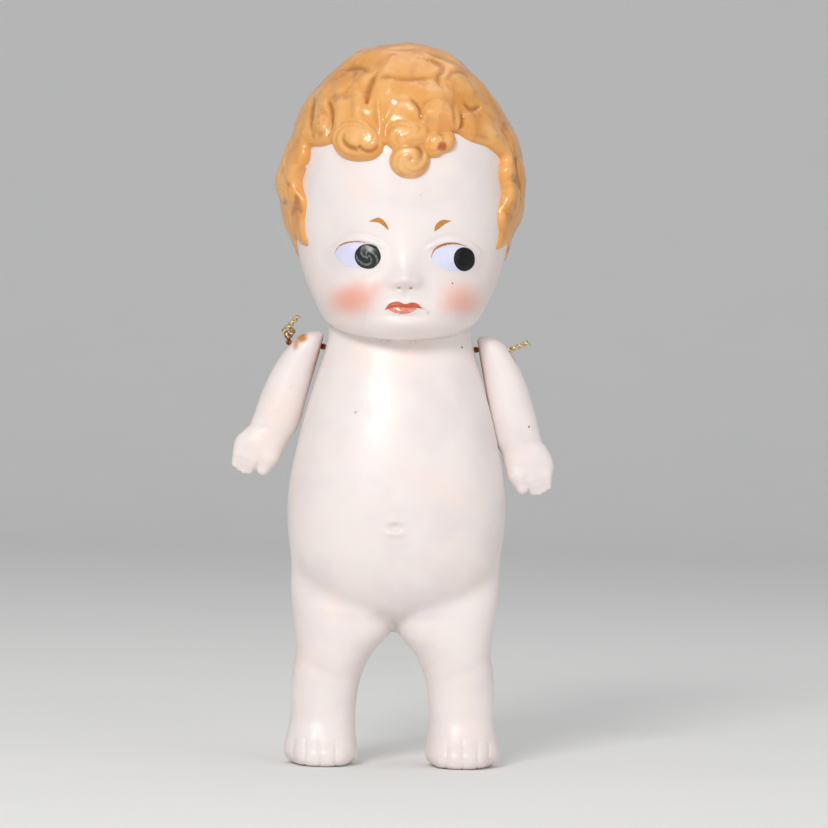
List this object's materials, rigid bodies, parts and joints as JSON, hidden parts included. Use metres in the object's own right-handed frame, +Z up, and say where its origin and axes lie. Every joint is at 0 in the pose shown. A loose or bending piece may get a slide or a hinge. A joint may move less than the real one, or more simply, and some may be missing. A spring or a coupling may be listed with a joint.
{
  "type": "porcelain doll",
  "caption": "Small standing bisque doll cast in one piece, with moulded curly hair, and two arms that turn on a twisted wire through the shoulders.",
  "frame": {"origin": "on the surface that the doll stands on, under the middle of its box", "axes": "+Z up, the doll faces -Y, its own left is +X"},
  "size_m": [0.06, 0.0405, 0.13],
  "materials": {
    "bisque": "unglazed bisque porcelain, white with a faint pink cast, painted face",
    "rusty_wire": "thin iron wire with orange-brown rust"
  },
  "bodies": {
    "doll": {"figure": "bisque"},
    "right_arm": {"right_arm": "bisque", "wire_strand_a": "rusty_wire", "wire_strand_b": "rusty_wire"},
    "left_arm": {"left_arm": "bisque"}
  },
  "joints": [
    {"name": "right_arm_swing", "type": "hinge", "parent": "doll", "child": "right_arm", "pos_m": [0, 0.0014, 0.075], "axis": [-1, 0, 0], "range_deg": [-120, 135]},
    {"name": "left_arm_swing", "type": "hinge", "parent": "doll", "child": "left_arm", "pos_m": [0, 0.0014, 0.075], "axis": [-1, 0, 0], "range_deg": [-120, 135]}
  ]
}
